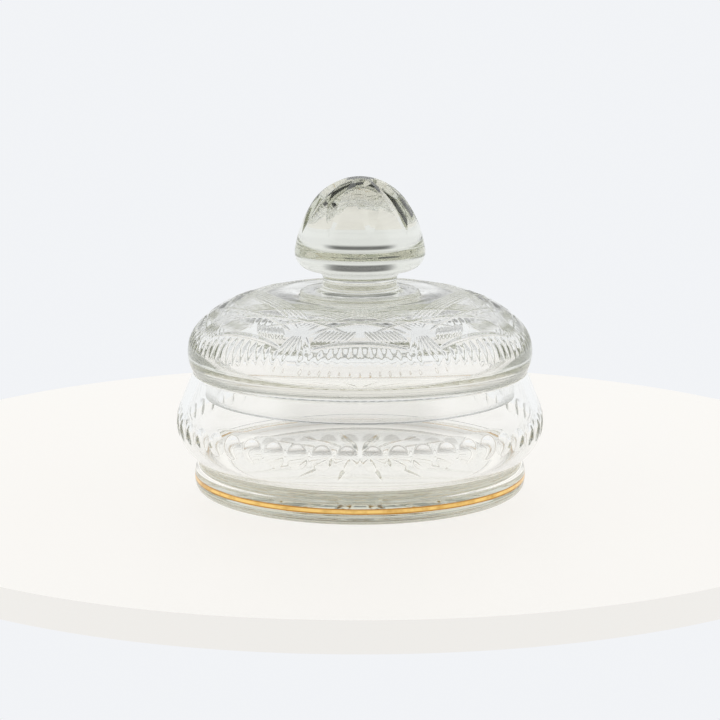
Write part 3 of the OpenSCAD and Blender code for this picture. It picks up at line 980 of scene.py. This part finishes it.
class CANDYBOX_OT_gilding(Operator):
    """Builds the fired gold line round the foot"""

    bl_idname = "candy_box.gilding"
    bl_label = "Build gold line"

    def execute(self, context):
        look = context.scene.candy_look
        low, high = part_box("gold_line")
        columns = 2 * RING
        turn = np.arange(columns) * 2 * math.pi / columns
        random = np.random.default_rng(SEED).normal(0, 1, (2, columns))
        bell = np.hanning(WAVER_SPAN) / np.hanning(WAVER_SPAN).sum()
        once = slice(columns, 2 * columns)
        waver = [np.convolve(np.tile(row, 3), bell, "same")[once] for row in random]
        lower = low.z - look.gold_lap + look.gold_waver * (1 + waver[0])
        upper = high.z + look.gold_lap - look.gold_waver * (1 - waver[1])
        outer, inner = high.x + look.gold_skin, high.x - look.gold_depth
        rings = [(outer, upper), (outer, lower), (inner, lower), (inner, upper)]
        verts = np.concatenate(
            [np.column_stack([r * np.sin(turn), -r * np.cos(turn), z]) for r, z in rings]
        )
        index = np.arange(4 * columns).reshape(4, columns)
        lower_index, right = np.roll(index, -1, axis=0), np.roll(index, -1, axis=1)
        quads = np.stack(
            [index, lower_index, np.roll(lower_index, -1, axis=1), right], axis=-1
        ).reshape(-1, 4)
        mesh = fill_mesh("gold_line_skin", verts, quads, np.zeros((0, 3), int))
        mesh.polygons.foreach_set("use_smooth", np.zeros(len(quads), bool))
        material = gold_material(look, shared_film())
        make_piece("gold_line_skin", mesh, material, "bowl", "gilding", "gold_line")
        return {"FINISHED"}


def soft_step(tree, value, low, high):
    """A smooth rise from 0 at low to 1 at high."""
    step = add_node(
        tree, "ShaderNodeMapRange", interpolation_type="SMOOTHSTEP", From_Min=low, From_Max=high
    )
    link(tree, value, step.inputs["Value"])
    return step.outputs["Result"]


def soft_region(tree, direction, depth, height):
    """Mask of a place in the surround, by how far back and how high a direction points."""
    (low, high), edge = height, SURROUND_EDGE
    masks = [
        soft_step(tree, direction.outputs["Y"], *depth),
        soft_step(tree, direction.outputs["Z"], low - edge, low + edge),
        soft_step(tree, direction.outputs["Z"], high + edge, high - edge),
    ]
    total = masks[0]
    for mask in masks[1:]:
        both = add_node(tree, "ShaderNodeMath", operation="MULTIPLY")
        link(tree, total, both.inputs[0])
        link(tree, mask, both.inputs[1])
        total = both.outputs["Value"]
    return total


def build_world(scene, stage):
    """White tent with darker places, which the glass shows, and a plain backdrop for the camera."""
    world = bpy.data.worlds.new("tent")
    scene.world = world
    world.use_nodes = True
    tree = world.node_tree
    tree.nodes.clear()
    place = add_node(tree, "ShaderNodeTexCoord")
    parts = add_node(tree, "ShaderNodeSeparateXYZ")
    link(tree, place.outputs["Generated"], parts.inputs["Vector"])
    white = Vector(stage.tent_tint)
    walls = None
    for setting, (depth, height) in SURROUND.items():
        mixed = add_node(tree, "ShaderNodeMix", data_type="RGBA")
        mixed.inputs["A"].default_value = (*(stage.tent_light * white), 1)
        mixed.inputs["B"].default_value = (*(getattr(stage, setting) * white), 1)
        if walls:
            link(tree, walls.outputs["Result"], mixed.inputs["A"])
        link(tree, soft_region(tree, parts, depth, height), mixed.inputs["Factor"])
        walls = mixed
    seen = add_node(tree, "ShaderNodeLightPath")
    shown = add_node(tree, "ShaderNodeMix", data_type="RGBA")
    shown.inputs["B"].default_value = (*stage.backdrop, 1)
    link(tree, walls.outputs["Result"], shown.inputs["A"])
    link(tree, seen.outputs["Is Camera Ray"], shown.inputs["Factor"])
    light = add_node(tree, "ShaderNodeBackground", Strength=1.0)
    link(tree, shown.outputs["Result"], light.inputs["Color"])
    output = add_node(tree, "ShaderNodeOutputWorld")
    link(tree, light.outputs["Background"], output.inputs["Surface"])


class CANDYBOX_OT_stage(Operator):
    """Sets up the turntable, the tent of light and the camera"""

    bl_idname = "candy_box.stage"
    bl_label = "Build stage"

    def execute(self, context):
        scene, stage = context.scene, context.scene.candy_stage
        bpy.ops.mesh.primitive_cylinder_add(
            vertices=256,
            radius=stage.disc_r,
            depth=stage.disc_t,
            location=(0, stage.disc_back, -stage.disc_t / 2),
        )
        disc = context.object
        disc.name = "turntable"
        disc.data.materials.append(disc_material(stage, shared_film()))
        build_world(scene, stage)

        camera = bpy.data.cameras.new("camera")
        camera.lens = stage.camera_lens
        camera.sensor_width = SENSOR
        holder = bpy.data.objects.new("camera", camera)
        holder.location = Vector((0, -stage.camera_back, stage.camera_z))
        holder.rotation_euler = (math.radians(90 - stage.camera_pitch), 0, 0)
        scene.collection.objects.link(holder)
        scene.camera = holder

        scene.view_settings.view_transform = "Standard"
        cycles = scene.cycles
        cycles.max_bounces = 64
        cycles.transmission_bounces = 48
        cycles.glossy_bounces = 48
        cycles.transparent_max_bounces = 16
        cycles.caustics_reflective = True
        cycles.caustics_refractive = True
        cycles.use_denoising = True
        return {"FINISHED"}


class CANDYBOX_PT_panel(Panel):
    """Buttons and sizes of the candy box"""

    bl_idname = "CANDYBOX_PT_panel"
    bl_label = "Candy box"
    bl_space_type = "VIEW_3D"
    bl_region_type = "UI"
    bl_category = "Candy box"

    def draw(self, context):
        layout = self.layout
        for operator in OPERATORS:
            layout.operator(operator.bl_idname)
        for name, group in SETTINGS.items():
            box = layout.box()
            box.label(text=group.__doc__)
            for prop in group.__annotations__:
                box.prop(getattr(context.scene, name), prop)


SETTINGS = {
    "candy_bowl": BowlSettings,
    "candy_lid": LidSettings,
    "candy_knob": KnobSettings,
    "candy_look": LookSettings,
    "candy_stage": StageSettings,
}
OPERATORS = (CANDYBOX_OT_bowl, CANDYBOX_OT_lid, CANDYBOX_OT_gilding, CANDYBOX_OT_stage)
CLASSES = (*SETTINGS.values(), *OPERATORS, CANDYBOX_PT_panel)


def register():
    """Registers the classes and hangs the settings on the scene."""
    for cls in CLASSES:
        bpy.utils.register_class(cls)
    for name, group in SETTINGS.items():
        setattr(bpy.types.Scene, name, PointerProperty(type=group))


def unregister():
    """Takes the settings and classes away again."""
    for name in SETTINGS:
        delattr(bpy.types.Scene, name)
    for cls in reversed(CLASSES):
        bpy.utils.unregister_class(cls)


def main():
    """Builds the whole scene."""
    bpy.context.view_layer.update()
    register()
    bpy.ops.candy_box.bowl()
    bpy.ops.candy_box.lid()
    bpy.ops.candy_box.gilding()
    bpy.ops.candy_box.stage()


if __name__ == "__main__":
    main()
